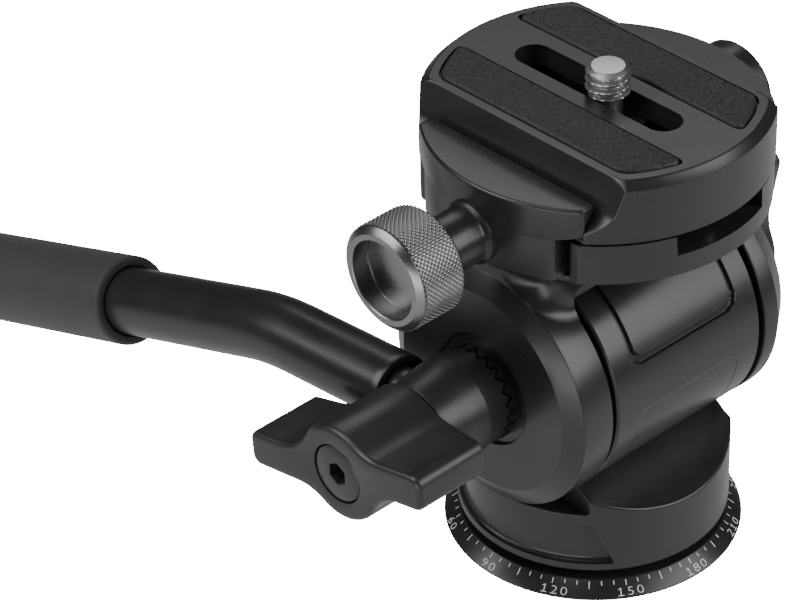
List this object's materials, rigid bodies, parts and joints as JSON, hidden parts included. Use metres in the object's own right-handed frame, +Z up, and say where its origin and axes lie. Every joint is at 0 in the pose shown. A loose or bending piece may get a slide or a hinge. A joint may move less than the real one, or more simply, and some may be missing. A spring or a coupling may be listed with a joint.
{
  "type": "fluid video head",
  "caption": "Compact pan and tilt video head with a dovetail quick-release plate, a drag barrel, a degree dial and a bent pan bar on a rosette.",
  "frame": {"origin": "centre of the tripod socket's mouth in the base's underside, on the pan axis", "axes": "+Z up the pan axis, +Y forward to the lens, +X to the side of the pan bar and clamp knob"},
  "size_m": [0.0814, 0.1937, 0.0995],
  "materials": {
    "black_anodised": "satin black anodised, fine bead-blasted grain",
    "black_moulded": "glass-filled moulding, fine matte grain",
    "grey_anodised": "titanium-grey anodised, diamond knurl",
    "steel": "turned stainless steel",
    "black_steel": "black-oxide steel bolt, satin",
    "bronze": "turned bearing bronze",
    "nylon": "plain acetal",
    "pad_rubber": "pebbled black rubber",
    "grip_rubber": "smooth matte rubber sleeve",
    "dial_white": "white printed dial marks"
  },
  "bodies": {
    "base": {"base_ring": "black_anodised", "socket_insert": "steel", "pan_thrust_washer": "nylon", "pan_retainer": "steel", "pan_retainer_screws": "steel"},
    "pan": {"pan_body": "black_anodised", "pan_bush": "bronze", "pan_upper_washer": "nylon", "barrel_cover": "black_anodised", "cover_screws": "steel", "tilt_bush_right": "bronze", "tilt_bush_left": "bronze", "stator_discs": "steel"},
    "tilt": {"tilt_yoke": "black_anodised", "tilt_shaft": "steel", "rotor_discs": "bronze", "cheek_washers": "nylon", "rosette_ring": "black_anodised", "lock_washer": "steel", "clamp_base": "black_anodised", "clamp_base_screws": "steel", "clamp_nut": "black_anodised", "jaw_guide_pins": "steel", "jaw_springs": "steel"},
    "jaw": {"moving_jaw": "black_anodised", "knob_collar": "black_anodised"},
    "knob": {"clamp_knob": "grey_anodised", "clamp_screw": "steel"},
    "plate": {"quick_release_plate": "black_anodised", "pad_right": "pad_rubber", "pad_left": "pad_rubber", "plate_stop_pins": "steel"},
    "screw_slider": {"screw_washer": "black_moulded"},
    "screw": {"camera_screw": "steel"},
    "handle": {"handle_hub": "black_moulded", "bar_spigot": "steel", "pan_bar": "black_anodised", "grip": "grip_rubber"},
    "wing": {"wing_knob": "black_moulded", "wing_bolt": "black_steel", "wing_washer": "nylon"},
    "lock": {"lock_wing": "black_moulded", "lock_bolt": "black_steel"}
  },
  "joints": [
    {"name": "pan_turn", "type": "hinge", "parent": "base", "child": "pan", "pos_m": [0, 0, 0], "axis": [0, 0, 1], "continuous": true},
    {"name": "tilt_swing", "type": "hinge", "parent": "pan", "child": "tilt", "pos_m": [0, 0, 0.0335], "axis": [1, 0, 0], "range_deg": [-90, 75]},
    {"name": "knob_turn", "type": "hinge", "parent": "jaw", "child": "knob", "pos_m": [0, 0, 0.0609], "axis": [1, 0, 0], "range_deg": [0, 1080]},
    {"name": "jaw_slide", "type": "slide", "parent": "tilt", "child": "jaw", "axis": [1, 0, 0], "range_m": [0, 0.003]},
    {"name": "plate_slide", "type": "slide", "parent": "tilt", "child": "plate", "axis": [0, 1, 0], "range_m": [-0.008, 0.008]},
    {"name": "screw_slide", "type": "slide", "parent": "plate", "child": "screw_slider", "axis": [0, 1, 0], "range_m": [-0.0141, 0.0103]},
    {"name": "screw_turn", "type": "hinge", "parent": "screw_slider", "child": "screw", "pos_m": [0, 0.0019, 0.07], "axis": [0, 0, 1], "continuous": true},
    {"name": "handle_index", "type": "hinge", "parent": "tilt", "child": "handle", "pos_m": [0, 0, 0.0335], "axis": [1, 0, 0], "range_deg": [-51.43, 51.43]},
    {"name": "wing_turn", "type": "hinge", "parent": "tilt", "child": "wing", "pos_m": [0, 0, 0.0335], "axis": [1, 0, 0], "range_deg": [0, 360]},
    {"name": "lock_turn", "type": "hinge", "parent": "tilt", "child": "lock", "pos_m": [0, 0, 0.0335], "axis": [-1, 0, 0], "range_deg": [0, 180]}
  ],
  "couplings": [
    {"joint": "jaw_slide", "follows": "knob_turn", "m_per_rad": 0.00015915}
  ]
}
